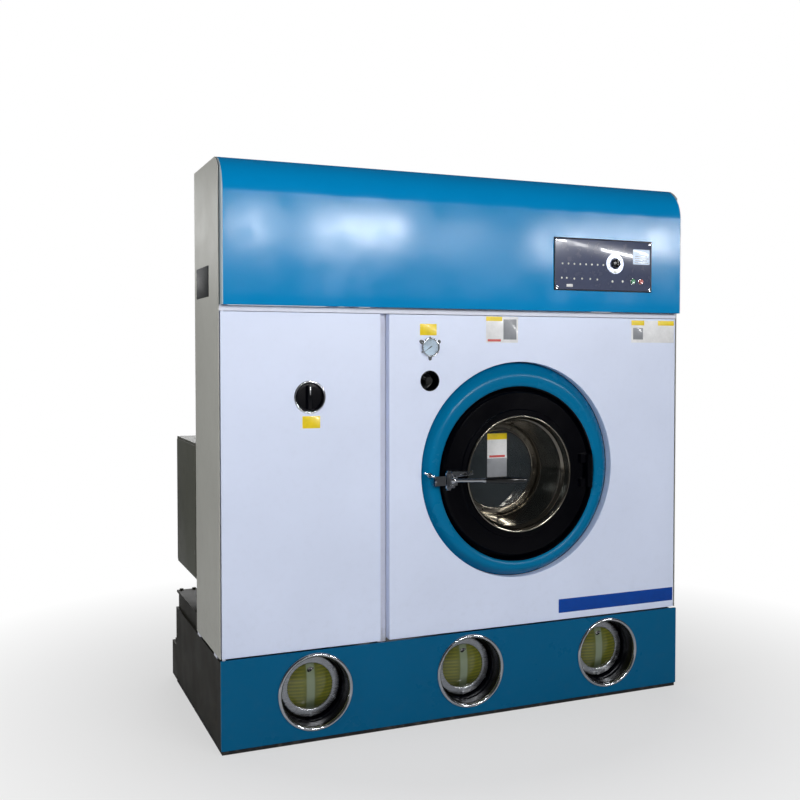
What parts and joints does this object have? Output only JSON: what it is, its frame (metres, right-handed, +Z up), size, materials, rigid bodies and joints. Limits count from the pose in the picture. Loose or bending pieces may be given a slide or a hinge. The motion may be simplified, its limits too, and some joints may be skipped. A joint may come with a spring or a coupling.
{
  "type": "dry cleaning machine",
  "caption": "Closed-circuit dry cleaning machine: hinged round loading door with recessed window and lever latch, turning drum, solvent tank with sight glasses, still, filter and air circuit.",
  "frame": {"origin": "on the floor, under the middle of the machine's overall width and depth", "axes": "+Z up, +Y from the front to the back, +X to the right seen from the front"},
  "size_m": [1.713, 1.0201, 1.85],
  "materials": {
    "plinth_frame": "matt black enamel",
    "solvent_tank": "matt black-green enamel",
    "base_front_plate": "blue gloss enamel",
    "porthole_bezels": "bright chrome",
    "porthole_cups": "black enamel",
    "sight_glass_rings": "turned stainless steel",
    "sight_glasses": "domed glass with olive solvent behind",
    "cabinet_frame": "white-grey enamel",
    "left_side_panel": "beige-grey enamel",
    "right_side_panel": "beige-grey enamel",
    "top_cover": "beige-grey enamel",
    "top_fascia": "high-gloss blue enamel",
    "fascia_end_caps": "grey-blue enamel",
    "front_panel": "white enamel",
    "door_surround": "satin blue enamel",
    "tub": "rolled stainless steel",
    "tub_front_plate": "black enamel",
    "door_fixings": "bright chrome",
    "bearing_housing": "blue painted casting",
    "drive_motor": "blue enamel",
    "drive_belt": "moulded rubber",
    "control_panel": "gloss black",
    "gauge_case": "bright chrome",
    "gauge_lens": "clear",
    "regulator_cup": "gloss black",
    "fan_housing": "galvanised grey",
    "fan_motor": "blue enamel",
    "recovery_head": "brushed",
    "air_ducts": "galvanised grey",
    "lint_filter_box": "brushed",
    "still": "brushed",
    "solvent_filter": "grey enamel",
    "button_trap": "brushed",
    "solvent_pump": "dark blue enamel",
    "pipework": "drawn copper alloy pipe",
    "electrical_box": "light grey enamel",
    "door_ring": "black painted casting",
    "window_well": "polished stainless steel",
    "window_clamp_ring": "turned stainless steel",
    "door_glass": "clear, dark drum behind",
    "door_seal": "moulded black rubber",
    "latch_bracket": "bright chrome",
    "door_lever": "bright chrome",
    "lever_grip": "gloss black",
    "drum": "perforated stainless steel",
    "drum_pulley": "turned casting",
    "motor_pulley": "turned casting",
    "fan_impeller": "as cast",
    "service_door": "white enamel",
    "latch_cup": "bright chrome",
    "latch_knob": "satin black",
    "latch_bolt": "zinc plated",
    "gauge_needle": "black",
    "regulator_knob": "bright chrome",
    "selector_knob": "gloss black",
    "start_button": "gloss green",
    "stop_button": "gloss red",
    "lint_filter_door": "brushed",
    "still_door": "grey painted casting",
    "button_trap_lid": "brushed"
  },
  "bodies": {
    "cabinet": {"plinth_frame": "plinth_frame", "solvent_tank": "solvent_tank", "base_front_plate": "base_front_plate", "porthole_bezels": "porthole_bezels", "porthole_cups": "porthole_cups", "sight_glass_rings": "sight_glass_rings", "sight_glasses": "sight_glasses", "cabinet_frame": "cabinet_frame", "left_side_panel": "left_side_panel", "right_side_panel": "right_side_panel", "top_cover": "top_cover", "top_fascia": "top_fascia", "fascia_end_caps": "fascia_end_caps", "front_panel": "front_panel", "door_surround": "door_surround", "tub": "tub", "tub_front_plate": "tub_front_plate", "door_fixings": "door_fixings", "bearing_housing": "bearing_housing", "drive_motor": "drive_motor", "drive_belt": "drive_belt", "control_panel": "control_panel", "gauge_case": "gauge_case", "gauge_lens": "gauge_lens", "regulator_cup": "regulator_cup", "fan_housing": "fan_housing", "fan_motor": "fan_motor", "recovery_head": "recovery_head", "air_ducts": "air_ducts", "lint_filter_box": "lint_filter_box", "still": "still", "solvent_filter": "solvent_filter", "button_trap": "button_trap", "solvent_pump": "solvent_pump", "pipework": "pipework", "electrical_box": "electrical_box"},
    "loading_door": {"door_ring": "door_ring", "window_well": "window_well", "window_clamp_ring": "window_clamp_ring", "door_glass": "door_glass", "door_seal": "door_seal", "latch_bracket": "latch_bracket"},
    "lever": {"door_lever": "door_lever", "lever_grip": "lever_grip"},
    "drum": {"drum": "drum", "drum_pulley": "drum_pulley"},
    "motor_rotor": {"motor_pulley": "motor_pulley"},
    "fan_wheel": {"fan_impeller": "fan_impeller"},
    "service_door": {"service_door": "service_door", "latch_cup": "latch_cup"},
    "latch_knob": {"latch_knob": "latch_knob"},
    "latch_bolt": {"latch_bolt": "latch_bolt"},
    "needle": {"gauge_needle": "gauge_needle"},
    "regulator_knob": {"regulator_knob": "regulator_knob"},
    "selector": {"selector_knob": "selector_knob"},
    "start_button": {"start_button": "start_button"},
    "stop_button": {"stop_button": "stop_button"},
    "lint_door": {"lint_filter_door": "lint_filter_door"},
    "still_door": {"still_door": "still_door"},
    "trap_lid": {"button_trap_lid": "button_trap_lid"}
  },
  "joints": [
    {"name": "loading_door", "type": "hinge", "parent": "cabinet", "child": "loading_door", "pos_m": [0.4755, -0.395, 0.826], "axis": [0, 0, 1], "range_deg": [0, 130]},
    {"name": "door_lever", "type": "hinge", "parent": "loading_door", "child": "lever", "pos_m": [-0.0925, -0.419, 0.82], "axis": [0, 0, 1], "range_deg": [-90, 0]},
    {"name": "drum_spin", "type": "hinge", "parent": "cabinet", "child": "drum", "pos_m": [0.1955, -0.139, 0.826], "axis": [0, 1, 0], "continuous": true},
    {"name": "motor_spin", "type": "hinge", "parent": "cabinet", "child": "motor_rotor", "pos_m": [0.6205, 0.251, 0.43], "axis": [0, 1, 0], "continuous": true},
    {"name": "fan_spin", "type": "hinge", "parent": "cabinet", "child": "fan_wheel", "pos_m": [0.5385, 0.111, 1.645], "axis": [0, 1, 0], "continuous": true},
    {"name": "service_door", "type": "hinge", "parent": "cabinet", "child": "service_door", "pos_m": [-0.8435, -0.382, 0.835], "axis": [0, 0, -1], "range_deg": [0, 100]},
    {"name": "latch_knob", "type": "hinge", "parent": "service_door", "child": "latch_knob", "pos_m": [-0.5655, -0.377, 1.105], "axis": [0, -1, 0], "range_deg": [0, 90]},
    {"name": "latch_bolt", "type": "slide", "parent": "service_door", "child": "latch_bolt", "axis": [1, 0, 0], "range_m": [-0.0198, 0]},
    {"name": "gauge_needle", "type": "hinge", "parent": "cabinet", "child": "needle", "pos_m": [-0.1485, -0.3925, 1.265], "axis": [0, 1, 0], "range_deg": [0, 250]},
    {"name": "regulator_knob", "type": "hinge", "parent": "cabinet", "child": "regulator_knob", "pos_m": [-0.1485, -0.369, 1.153], "axis": [0, 1, 0], "range_deg": [0, 340]},
    {"name": "selector_knob", "type": "hinge", "parent": "cabinet", "child": "selector", "pos_m": [0.5605, -0.429, 1.565], "axis": [0, 1, 0], "range_deg": [0, 330]},
    {"name": "start_button", "type": "slide", "parent": "cabinet", "child": "start_button", "axis": [0, 1, 0], "range_m": [0, 0.003], "stiffness_N_per_m": 400, "springref_m": -0.001},
    {"name": "stop_button", "type": "slide", "parent": "cabinet", "child": "stop_button", "axis": [0, 1, 0], "range_m": [0, 0.003], "stiffness_N_per_m": 400, "springref_m": -0.001},
    {"name": "lint_filter_door", "type": "hinge", "parent": "cabinet", "child": "lint_door", "pos_m": [0.7515, 0.346, 1.39], "axis": [0, 0, -1], "range_deg": [0, 105]},
    {"name": "still_door", "type": "hinge", "parent": "cabinet", "child": "still_door", "pos_m": [-0.5225, 0.357, 0.536], "axis": [0, 0, 1], "range_deg": [0, 110]},
    {"name": "button_trap_lid", "type": "hinge", "parent": "cabinet", "child": "trap_lid", "pos_m": [-0.5335, -0.079, 0.396], "axis": [-1, 0, 0], "range_deg": [0, 100]}
  ],
  "couplings": [
    {"joint": "motor_spin", "follows": "drum_spin", "ratio": 5},
    {"joint": "latch_bolt", "follows": "latch_knob", "m_per_rad": -0.012605}
  ]
}
